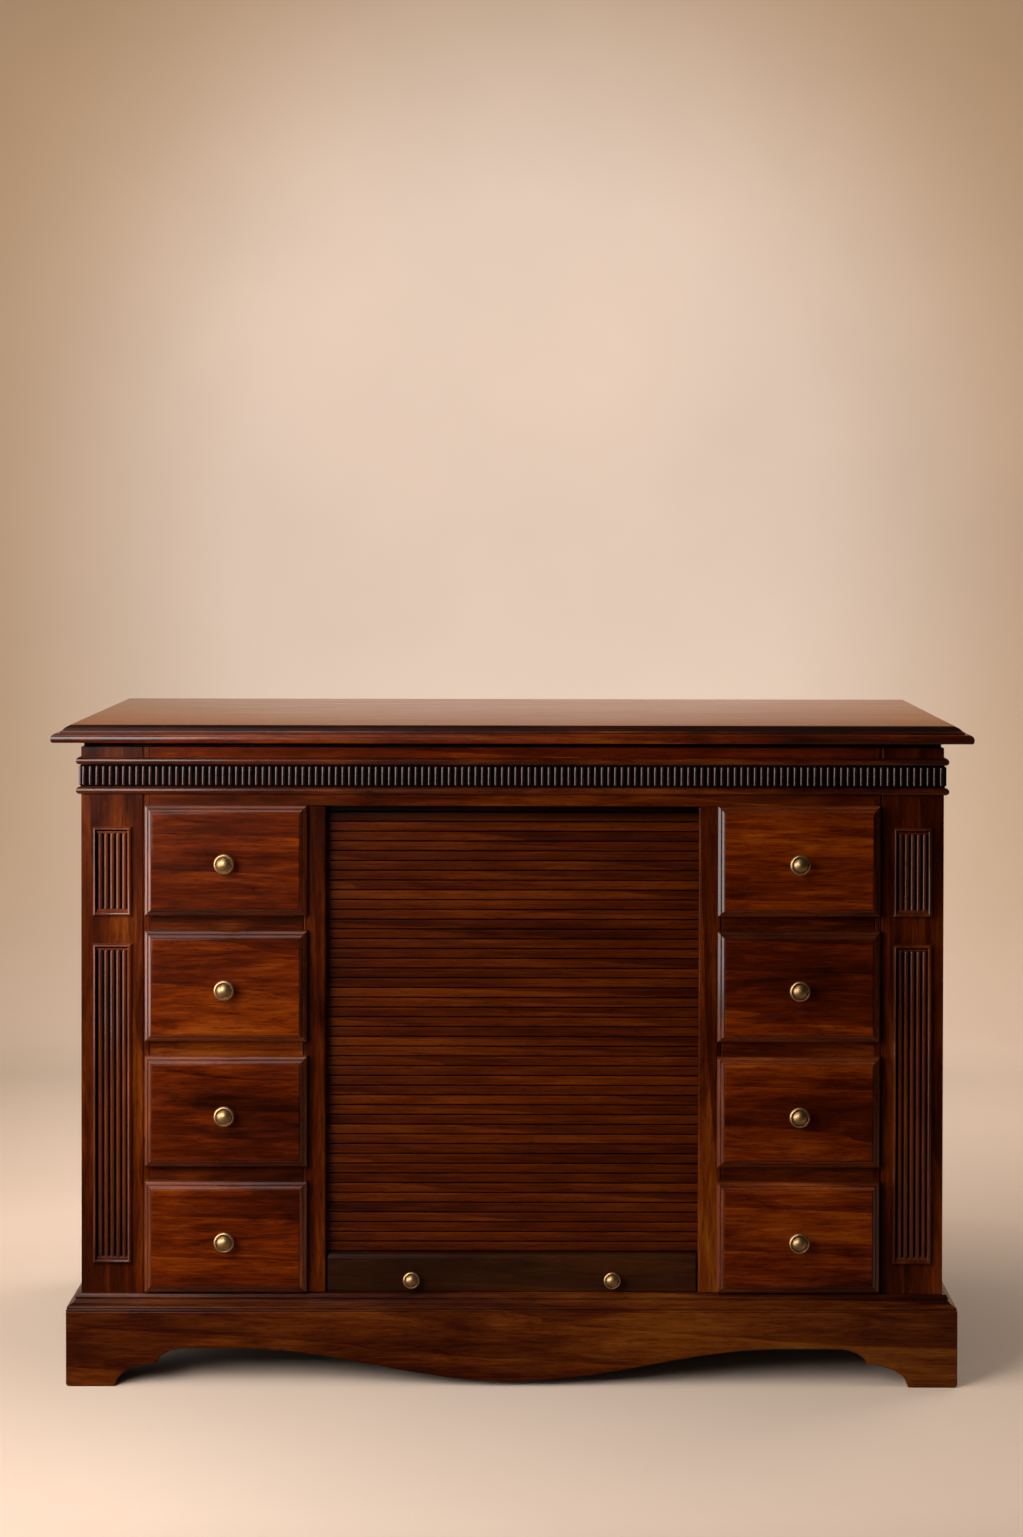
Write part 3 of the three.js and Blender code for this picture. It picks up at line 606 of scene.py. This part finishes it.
for node, name, arris, slot, finish in boards:
    footRound = plinthShape["footRound"] if "plinth" in node else 0
    board = softened(node, name, arris / 1000, footRound=footRound)
    settle(board, "carcass", [finish], [node])
    if node == "frieze_rail":  # the strip above the frieze is painted lighter against the top's shade
        only(board)
        bpy.ops.object.mode_set(mode="EDIT")
        bpy.ops.mesh.select_all(action="SELECT")
        bpy.ops.mesh.bisect(plane_co=(0, 0, friezeTop), plane_no=(0, 0, 1))
        bpy.ops.object.mode_set(mode="OBJECT")
        board.data.materials.append(railUpperLit)
        for polygon in board.data.polygons:
            polygon.material_index = 1 if polygon.center.z > friezeTop else 0
print("stage 4: carcass boards")


bead = {"proud": 0.0054, "steps": 12}
for node, name in (("upper_bead", "upperBead"), ("lower_bead", "lowerBead")):
    low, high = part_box(node)
    radius = (high.z - low.z) / 2
    profile = []
    for i in range(bead["steps"] + 1):
        angle = -math.pi / 2 + math.pi * i / bead["steps"]
        profile.append((bead["proud"] - radius + radius * math.cos(angle),
                        low.z + radius * (1 + math.sin(angle))))
    piece = wrappedMoulding(name, profile)
    cutBodyOut(piece)
    smoothByAngle(piece)
    settle(piece, "carcass", [frameGloss], [node])

frieze = {
    "pitch": 0.00764,
    "reedWidth": 0.0044,
    "backing": 0.0006,  # out from the body's face
    "proud": 0.0032,
    "endGap": 0.0009,  # from a reed's round end to the bead
}
low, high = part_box("reeded_frieze")
friezeBack = wrappedMoulding(
    "reededFrieze", [(frieze["backing"], low.z), (frieze["backing"], high.z)])
cutBodyOut(friezeBack)


def roundReed(name, width, proud, length, place):
    # half-round strip with round ends, standing upright on its backing and facing the front
    bpy.ops.object.select_all(action="DESELECT")
    bpy.ops.mesh.primitive_uv_sphere_add(segments=12, ring_count=7, radius=width / 2)
    reed = bpy.context.object
    reed.name = name
    bpy.ops.object.mode_set(mode="EDIT")
    bpy.ops.mesh.select_all(action="SELECT")
    # just behind the middle, so that the cut misses the sphere's own vertices
    bpy.ops.mesh.bisect(
        plane_co=(0, 0.00002, 0), plane_no=(0, 1, 0), clear_outer=True, use_fill=True)
    bpy.ops.object.mode_set(mode="OBJECT")
    for end in (1, -1):
        for vertex in reed.data.vertices:
            vertex.select = vertex.co.z * end > 0
        for edge in reed.data.edges:
            edge.select = all(reed.data.vertices[v].select for v in edge.vertices)
        for polygon in reed.data.polygons:
            polygon.select = all(reed.data.vertices[v].select for v in polygon.vertices)
        bpy.ops.object.mode_set(mode="EDIT")
        bpy.ops.mesh.select_mode(type="VERT")
        bpy.ops.transform.translate(value=(0, 0, end * (length - width) / 2))
        bpy.ops.object.mode_set(mode="OBJECT")
    reed.scale = (1, proud / (width / 2), 1)
    reed.location = place
    bpy.ops.object.transform_apply(location=True, rotation=True, scale=True)
    smoothByAngle(reed, 50)
    applyModifier(reed, "WEIGHTED_NORMAL", keep_sharp=True)
    return reed


reedLength = high.z - low.z - 2 * frieze["endGap"]
reedOut = frieze["proud"] - frieze["backing"]
midZ = (low.z + high.z) / 2
frontReeds = round(2 * (bodyHalf + frieze["backing"]) / frieze["pitch"])
sideReeds = round((bodyDepth + frieze["backing"]) / frieze["pitch"])
frontStep = 2 * (bodyHalf + frieze["backing"]) / frontReeds
sideStep = (bodyDepth + frieze["backing"]) / sideReeds
faceY = bodyFront - frieze["backing"]
reed = roundReed("frontReed", frieze["reedWidth"], reedOut, reedLength, (0, 0, 0))
reed.data.materials.append(friezeGlaze)
# the backing between the reeds is painted near-black, as painted shade in the gaps
friezeBack.data.materials.append(hollowShade)
front = copyTo(reed, "frontReeds", (-bodyHalf - frieze["backing"] + frontStep / 2, faceY, midZ))
repeat(front, frontReeds, (frontStep, 0, 0))
parts = [front]
for side in (-1, 1):
    flank = copyTo(reed, "sideReeds", (0, 0, 0))
    flank.rotation_euler = (0, 0, side * math.pi / 2)
    flank.location = (side * (bodyHalf + frieze["backing"]), faceY + sideStep / 2, midZ)
    bpy.ops.object.transform_apply(location=True, rotation=True, scale=True)
    repeat(flank, sideReeds, (0, sideStep, 0))
    parts.append(flank)
bpy.data.objects.remove(reed)
joinAll(friezeBack, parts)
settle(friezeBack, "carcass", [], ["reeded_frieze"])
print("stage 5: frieze")


baseMould = {
    "profile": [  # mm out from the body's face, mm up from the plinth
        (16, 0), (16, 0.7), (15.6, 1.2), (14.9, 1.4), (14.6, 1.5), (14.4, 2), (14.5, 2.3),
        (15, 2.8), (15.2, 3.5), (15, 4.3), (14.4, 5), (13.2, 5.7), (11.4, 6.6), (9.6, 7.7),
        (8.2, 8.9), (7.2, 10.2), (6.6, 11.2), (6.3, 11.5), (5.3, 11.5), (5.2, 12), (5.5, 12.4),
        (6, 12.9), (6.2, 13.7), (6.1, 14.7), (5.7, 15.5), (5.2, 16), (5, 16.6), (4.6, 17.5),
        (4, 18)],
}
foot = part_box("base_moulding")[0].z
piece = wrappedMoulding(
    "baseMoulding", [(out / 1000, foot + up / 1000) for out, up in baseMould["profile"]])
cutBodyOut(piece)
smoothByAngle(piece)
settle(piece, "carcass", [baseMahogany], ["base_moulding"])
print("stage 6: base moulding")


flutedPanel = {
    "frame": [  # mm in from the edge, mm out from the back
        (0, 0), (0, 2), (0.2, 3), (0.6, 4), (1.2, 5), (1.9, 5.7), (2.6, 6), (3.3, 5.8), (4, 5.1),
        (4.6, 4.2), (4.9, 3.2), (5.1, 2.2), (5.2, 1.2)],
    "frameWidth": 5.2, "floor": 1.2,
    "litEdge": 5, "shadedEdge": 3,  # mm in from the edge that keep the polished finish; further in is painted shade, nearer the edge on faces turned from the light
    "reeds": 5, "reedShare": 0.7, "reedOut": 2.4,
    "stopHeight": 3.4, "stopOut": 2.4,  # the sloped strip in which the reeds end
}
for length in ("short", "long"):
    low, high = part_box(f"fluted_panel_{length}_left")
    width, height = high.x - low.x, high.z - low.z
    panel = frontPanel(
        "panel", width, height,
        [(inset / 1000, out / 1000) for inset, out in flutedPanel["frame"]])
    smoothByAngle(panel)
    # painted shade: the recess and the walls turned from the light are near-black, the frame's edge
    # stays polished
    for finish in (hollowShade, edgeMahoganyUpright, panelGlaze):
        panel.data.materials.append(finish)
    for polygon in panel.data.polygons:
        middle, facing = polygon.center, polygon.normal
        reach = min(width / 2 - abs(middle.x), height / 2 - abs(middle.z))
        facesShade = facing.x > 0.3 or facing.z < -0.3
        edge = flutedPanel["shadedEdge" if facesShade else "litEdge"]
        polygon.material_index = 1 if reach * 1000 < edge else 0
    inner = width - 2 * flutedPanel["frameWidth"] / 1000
    step = inner / flutedPanel["reeds"]
    between = height - 2 * flutedPanel["frameWidth"] / 1000
    stop, floorOut = flutedPanel["stopHeight"] / 1000, flutedPanel["floor"] / 1000
    reed = roundReed("panelReed", step * flutedPanel["reedShare"], flutedPanel["reedOut"] / 1000,
                     between - stop, (-inner / 2 + step / 2, -floorOut, 0))
    reed.data.materials.append(panelGlaze)
    repeat(reed, flutedPanel["reeds"], (step, 0, 0))
    stops = []
    for end in (1, -1):
        rise = flutedPanel["stopOut"] / 1000
        strip = startFace(
            "stop", (0, -floorOut, end * (between - stop) / 2), inner, stop, "front")
        rings = [(inner, stop, floorOut), (inner, stop * 0.5, floorOut + rise)]
        growRings(strip, rings, "front", (0, 0, end * between / 2))
        strip.data.materials.append(panelGlaze)
        stops.append(strip)
    joinAll(panel, [reed] + stops)
    for side in ("left", "right"):
        node = f"fluted_panel_{length}_{side}"
        name = "flutedPanel" + length.capitalize() + side.capitalize()
        piece = copyTo(panel, name, middleBack(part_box(node)))
        settle(piece, "carcass", [], [node])
    bpy.data.objects.remove(panel)
print("stage 7: fluted panels")


knobShape = {  # all in shares of the knob's radius
    "sides": 40,
    "profile": [  # radius, out from the drawer: foot, neck, rim, groove, dome
        (0.62, 0), (0.62, 0.08), (0.58, 0.12), (0.46, 0.17), (0.41, 0.26), (0.39, 0.42),
        (0.4, 0.6), (0.46, 0.76), (0.6, 0.9), (0.8, 1.03), (0.93, 1.12), (0.985, 1.2),
        (0.985, 1.28), (0.955, 1.36), (0.9, 1.42), (0.83, 1.44), (0.78, 1.4), (0.76, 1.28),
        (0.71, 1.28), (0.695, 1.42), (0.66, 1.52), (0.58, 1.64), (0.46, 1.755), (0.32, 1.83),
        (0.16, 1.87), (0.05, 1.88)],
    "groove": (0.68, 0.79), "grooveOut": 1.3,  # where dirt has stayed
    "neckOut": 0.9,  # the neck is as dark as the groove
}


def turnedKnob(name, radius):
    rings = [(2 * r * radius, 2 * r * radius, out * radius) for r, out in knobShape["profile"]]
    knob = startFace(name, (0, 0, 0), rings[0][0], rings[0][1], "front", knobShape["sides"])
    growRings(knob, rings, "front", (0, 0, 0))
    smoothByAngle(knob, 40)
    knob.data.materials.append(antiqueBrass)
    knob.data.materials.append(brassPatina)
    grooveFrom, grooveTo = knobShape["groove"]
    for polygon in knob.data.polygons:
        out = -polygon.center.y / radius
        reach = math.hypot(polygon.center.x, polygon.center.z) / radius
        inGroove = grooveFrom < reach < grooveTo and out > knobShape["grooveOut"]
        polygon.material_index = 1 if inGroove or out < knobShape["neckOut"] else 0
    return knob


low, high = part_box("knob_left_1")
drawerKnob = turnedKnob("drawerKnob", (high.x - low.x) / 2)
low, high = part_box("lead_knob_left")
leadKnob = turnedKnob("leadKnob", (high.x - low.x) / 2)
for side in ("left", "right"):
    node = f"lead_knob_{side}"
    piece = copyTo(leadKnob, "leadKnob" + side.capitalize(), middleBack(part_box(node)))
    settle(piece, "tambour", [], [node])


drawerShape = {
    "edge": [  # mm in from the edge, mm out from the back: bevel, quirk, bevel, quirk, field
        (0, 0), (0, 8.8), (0.1, 9.2), (0.4, 9.6), (1.2, 10.25), (2.1, 11), (2.9, 11.7), (3.4, 12),
        (3.7, 12), (3.8, 11.5), (4.3, 11.5), (4.4, 12.3), (4.7, 12.7), (5.5, 13.35), (6.4, 14.1),
        (7.1, 14.7), (7.6, 14.9), (7.7, 14.5), (8.2, 14.5), (8.3, 15.2), (8.7, 15.7),
        (9.4, 15.95), (10.2, 16), (14, 16)],
    "edgeWidth": 0.0084,  # the part of it with the edge's own finish
    "boxArris": 0.0008, "boxArrisSteps": 2,
}
low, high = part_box("drawer_front_left_1")
drawerFront = frontPanel("drawerFront", high.x - low.x, high.z - low.z,
                         [(inset / 1000, out / 1000) for inset, out in drawerShape["edge"]])
smoothByAngle(drawerFront, 30)
for finish in (mahoganyAcross, edgeMahogany, edgeMahoganyUpright):
    drawerFront.data.materials.append(finish)
halfWidth, halfHeight = (high.x - low.x) / 2, (high.z - low.z) / 2
for polygon in drawerFront.data.polygons:
    fromSide = halfWidth - abs(polygon.center.x)
    fromEnd = halfHeight - abs(polygon.center.z)
    isEdge = min(fromSide, fromEnd) < drawerShape["edgeWidth"] and polygon.normal.y < 0.99
    polygon.material_index = (2 if fromSide < fromEnd else 1) if isEdge else 0
for side in ("left", "right"):
    for row in (1, 2, 3, 4):
        label = f"{side}_{row}"
        suffix = f"{side.capitalize()}{row}"
        body = f"drawer_{label}"
        front = copyTo(
            drawerFront, "drawerFront" + suffix, middleBack(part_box(f"drawer_front_{label}")))
        settle(front, body, [], [f"drawer_front_{label}"])
        knob = copyTo(drawerKnob, "knob" + suffix, middleBack(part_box(f"knob_{label}")))
        settle(knob, body, [], [f"knob_{label}"])
        box = softened(f"drawer_box_{label}", "drawerBox" + suffix,
                       drawerShape["boxArris"], drawerShape["boxArrisSteps"])
        settle(box, body, [liningDeep], [f"drawer_box_{label}"])
for template in (drawerFront, drawerKnob, leadKnob):
    bpy.data.objects.remove(template)
print("stage 8: drawers and knobs")


low, high = slatBox
bpy.ops.object.select_all(action="DESELECT")
bpy.ops.mesh.primitive_cube_add(
    size=1, location=((low.x + high.x) / 2, (low.y + high.y) / 2, low.z + slatPitch / 2))
slat = bpy.context.object
slat.name = "tambourSlats"
slat.data.name = "tambourSlats"
slat.scale = (high.x - low.x, high.y - low.y, slatPitch - slats["gap"])
bpy.ops.object.transform_apply(location=True, rotation=True, scale=True)
midY = (low.y + high.y) / 2
selectEdges(slat, lambda a, b: abs(a.x - b.x) > 0.1 and a.y < midY)
bpy.ops.mesh.bevel(offset=slats["arris"], segments=4, profile=0.5, affect="EDGES")
bpy.ops.object.mode_set(mode="OBJECT")
smoothByAngle(slat, 50)
applyModifier(slat, "WEIGHTED_NORMAL", keep_sharp=True)
repeat(slat, slats["count"], (0, 0, slatPitch))
settle(slat, "carcass", [slatMahogany], ["tambour_curtain"])
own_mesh(slat)

leadBarShape = {"arris": 0.002, "arrisSteps": 4}
leadBar = softened("lead_bar", "leadBar", leadBarShape["arris"], leadBarShape["arrisSteps"])
settle(leadBar, "tambour", [leadBarFinish], ["lead_bar"])
print("stage 9: tambour")


studio = {
    "floorRadius": 2.3, "coveRadius": 1.2, "wallHeight": 4.2, "sides": 128, "coveSteps": 16,
    "floorPaper": "#e7cfbc", "floorEdge": "#d8bba1", "wallPaper": "#ead8c8", "wallEdge": "#d4b592",
    "bounce": 0.4,  # how much of its bounced light is kept
    "flag": 0.85,  # how much of the front floor's reflection is cut
    "sky": "#e0cdb9", "skyStrength": 0.95,  # seen where the backdrop ends
    "fill": "#f2e6da", "fillStrength": 0.03, "fillMirrored": 0.01,
}
rings = [(2 * studio["floorRadius"], 2 * studio["floorRadius"], 0)]
for i in range(1, studio["coveSteps"] + 1):
    angle = math.pi / 2 * i / studio["coveSteps"]
    reach = studio["floorRadius"] + studio["coveRadius"] * math.sin(angle)
    rings.append((2 * reach, 2 * reach, studio["coveRadius"] * (1 - math.cos(angle))))
rings.append((rings[-1][0], rings[-1][1], studio["wallHeight"]))
backdrop = startFace("backdrop", (0, 0, 0), rings[0][0], rings[0][1], "up", studio["sides"])
growRings(backdrop, rings, "up", (0, 0, 0))
bpy.ops.object.mode_set(mode="EDIT")
bpy.ops.mesh.select_mode(type="FACE")
bpy.ops.mesh.select_all(action="SELECT")
bpy.ops.mesh.flip_normals()
bpy.ops.mesh.select_all(action="DESELECT")
bpy.ops.object.mode_set(mode="OBJECT")
for polygon in backdrop.data.polygons:
    polygon.select = polygon.center.z > studio["wallHeight"] - 0.01
bpy.ops.object.mode_set(mode="EDIT")
bpy.ops.mesh.delete(type="FACE")
bpy.ops.object.mode_set(mode="OBJECT")
smoothByAngle(backdrop, 40)

# Seamless paper: matt, faintly clouded, and clear from outside so that any view sees in
paper = bpy.data.materials.new("backgroundPaper")
paper.use_nodes = True
tree = paper.node_tree
tree.nodes.clear()
coords = addNode(tree, "TexCoord").outputs["Object"]
xyz = addNode(tree, "SeparateXYZ", {0: coords})
cloud = addNode(tree, "TexNoise", {
    "Vector": coords, "Scale": 1.6, "Detail": 4, "Roughness": 0.55})
tint = addNode(tree, "MapRange", {
    "Value": cloud.outputs[0], "From Min": 0.3, "From Max": 0.7, "To Min": 0.97, "To Max": 1.03})
# painted shade: both papers darken away from a point 1 m up the middle
fromMiddle = addNode(tree, "Mapping", {
    "Vector": coords, "Location": (0, 0, -0.71), "Scale": (0.85, 0, 0.71)})
spread = addNode(tree, "VectorMath", {0: fromMiddle.outputs[0]}, operation="LENGTH")
edge = addNode(tree, "MapRange", {
    "Value": spread.outputs["Value"], "From Min": 0.5, "From Max": 1.2},
    interpolation_type="SMOOTHSTEP")
wallColour = addNode(tree, "Mix", {
    0: edge.outputs[0], 6: linear(studio["wallPaper"]), 7: linear(studio["wallEdge"])},
    data_type="RGBA")
floorColour = addNode(tree, "Mix", {
    0: edge.outputs[0], 6: linear(studio["floorPaper"]), 7: linear(studio["floorEdge"])},
    data_type="RGBA")
upWall = addNode(tree, "MapRange", {
    "Value": xyz.outputs["Z"], "From Min": 0, "From Max": 0.4}, interpolation_type="SMOOTHSTEP")
ground = addNode(tree, "Mix", {
    0: upWall.outputs[0], 6: floorColour.outputs[2], 7: wallColour.outputs[2]}, data_type="RGBA")
# painted shadow: the paper is darker around where the desk stands
stood = addNode(tree, "VectorMath", {0: coords, 1: (1, 1.6, 1)}, operation="MULTIPLY")
stood = addNode(tree, "VectorMath", {0: stood.outputs[0]}, operation="LENGTH")
deskShade = addNode(tree, "MapRange", {
    "Value": stood.outputs["Value"], "From Min": 0.45, "From Max": 1.25,
    "To Min": 0.72, "To Max": 1})
# no flags are modelled: the paper's bounce, and its reflection in front, are dimmed by ray type,
# which stands in for black flags that would keep its light off the polish
rays = addNode(tree, "LightPath")
bounced = addNode(tree, "MapRange", {
    "Value": rays.outputs["Is Diffuse Ray"], "To Min": 1, "To Max": studio["bounce"]})
flagged = addNode(tree, "MapRange", {
    "Value": xyz.outputs["Y"], "From Min": -0.9, "From Max": 0.3,
    "To Min": 1 - studio["flag"], "To Max": 1})
mirrored = addNode(tree, "Mix", {
    0: rays.outputs["Is Glossy Ray"], 2: 1.0, 3: flagged.outputs[0]}, data_type="FLOAT")
shade = tint
for factor in (deskShade, bounced, mirrored):
    shade = addNode(tree, "Math", {
        0: shade.outputs[0], 1: factor.outputs[0]}, operation="MULTIPLY")
colour = addNode(tree, "VectorMath", {
    0: ground.outputs[2], "Scale": shade.outputs[0]}, operation="SCALE")
matt = addNode(tree, "BsdfDiffuse", {"Color": colour.outputs[0], "Roughness": 1})
# the wall fades out towards the front, where the lamps and the camera stand
fade = addNode(tree, "MapRange", {
    "Value": xyz.outputs["Y"], "From Min": -0.4, "From Max": 0.8},
    interpolation_type="SMOOTHSTEP")
flat = addNode(tree, "VectorMath", {0: coords, 1: (1, 1, 0)}, operation="MULTIPLY")
reach = addNode(tree, "VectorMath", {0: flat.outputs[0]}, operation="LENGTH")
centre = addNode(tree, "MapRange", {
    "Value": reach.outputs["Value"],
    "From Min": studio["floorRadius"], "From Max": studio["floorRadius"] - 0.5},
    interpolation_type="SMOOTHSTEP")
solidShare = addNode(tree, "Math", {
    0: fade.outputs[0], 1: centre.outputs[0]}, operation="MAXIMUM")
facing = addNode(tree, "NewGeometry").outputs["Backfacing"]
inside = addNode(tree, "Math", {0: 1, 1: facing}, operation="SUBTRACT")
share = addNode(tree, "Math", {
    0: solidShare.outputs[0], 1: inside.outputs[0]}, operation="MULTIPLY")
clear = addNode(tree, "BsdfTransparent")
mixed = addNode(tree, "MixShader", {0: share.outputs[0], 1: clear.outputs[0], 2: matt.outputs[0]})
tree.links.new(mixed.outputs[0], addNode(tree, "OutputMaterial").inputs[0])
backdrop.data.materials.append(paper)

world = bpy.data.worlds.new("studio")
bpy.context.scene.world = world
world.use_nodes = True
tree = world.node_tree
tree.nodes.clear()
rays = addNode(tree, "LightPath")
sky, fill = linear(studio["sky"]), linear(studio["fill"])
pale = addNode(tree, "Background", {"Color": sky, "Strength": studio["skyStrength"]})
dim = addNode(tree, "Background", {"Color": fill, "Strength": studio["fillStrength"]})
dark = addNode(tree, "Background", {"Color": fill, "Strength": studio["fillMirrored"]})
soft = addNode(tree, "MixShader", {
    0: rays.outputs["Is Glossy Ray"], 1: dim.outputs[0], 2: dark.outputs[0]})
seen = addNode(tree, "MixShader", {
    0: rays.outputs["Is Camera Ray"], 1: soft.outputs[0], 2: pale.outputs[0]})
tree.links.new(seen.outputs[0], addNode(tree, "OutputWorld").inputs[0])

lamps = [
    # name, place, aimed at, width, height, watts, spread in degrees, seen in reflections
    ("keySoftbox", (-1.05, -1.6, 1.1), (-0.6, -0.25, 0.38), 1.1, 1.1, 10.8, 100, True),
    ("leftPanel", (-2.4, -0.9, 0.8), (-0.1, -0.35, 0.55), 1.5, 1.5, 24, 140, True),
    ("overheadPanel", (-0.9, -0.9, 2.7), (-0.3, -0.3, 0.4), 1.2, 1.2, 8, 180, True),
    ("floorLamp", (1.3, -1.2, 2.3), (1.0, -0.9, 0), 0.9, 0.9, 3, 75, False),
    ("frontFill", (-0.9, -3.6, 1.0), (-0.3, -0.2, 0.4), 1.6, 1.2, 2, 180, False),
    ("backdropLamp", (-0.05, 1.7, 1.45), (-0.05, 3.5, 1.65), 1.2, 0.6, 26.5, 180, False),
    ("rearFloorLamp", (1.3, 1.2, 2.6), (0.9, 0.9, 0), 1.2, 1.2, 28, 120, False),
    ("topLamp", (-0.3, 0.2, 3.2), (0, 0.4, 0), 1.8, 1.8, 14, 180, False),
]
for name, place, aim, width, height, watts, spread, mirrored in lamps:
    light = bpy.data.lights.new(name, "AREA")
    light.shape = "RECTANGLE"
    light.size = width
    light.size_y = height
    light.energy = watts
    light.spread = math.radians(spread)
    lamp = bpy.data.objects.new(name, light)
    bpy.context.scene.collection.objects.link(lamp)
    lamp.location = place
    lamp.rotation_euler = (Vector(aim) - Vector(place)).to_track_quat("-Z", "Y").to_euler()
    lamp.visible_camera = False
    lamp.visible_glossy = mirrored

camera = {
    "place": (0.031, bodyFront - 3.795, 1.002), "pitch": 1.0, "lens": 77.27,
    "shiftX": -0.01855, "shiftY": -0.1266, "roll": 0.1,
}
lens = bpy.data.cameras.new("camera")
lens.sensor_width = 36
lens.sensor_fit = "AUTO"
lens.lens = camera["lens"]
lens.shift_x = camera["shiftX"]
lens.shift_y = camera["shiftY"]
viewer = bpy.data.objects.new("camera", lens)
bpy.context.scene.collection.objects.link(viewer)
viewer.location = camera["place"]
viewer.rotation_euler = (math.radians(90 - camera["pitch"]), -math.radians(camera["roll"]), 0)
bpy.context.scene.camera = viewer
bpy.context.scene.view_settings.view_transform = "Standard"
print("stage 10: stage, lamps and camera")
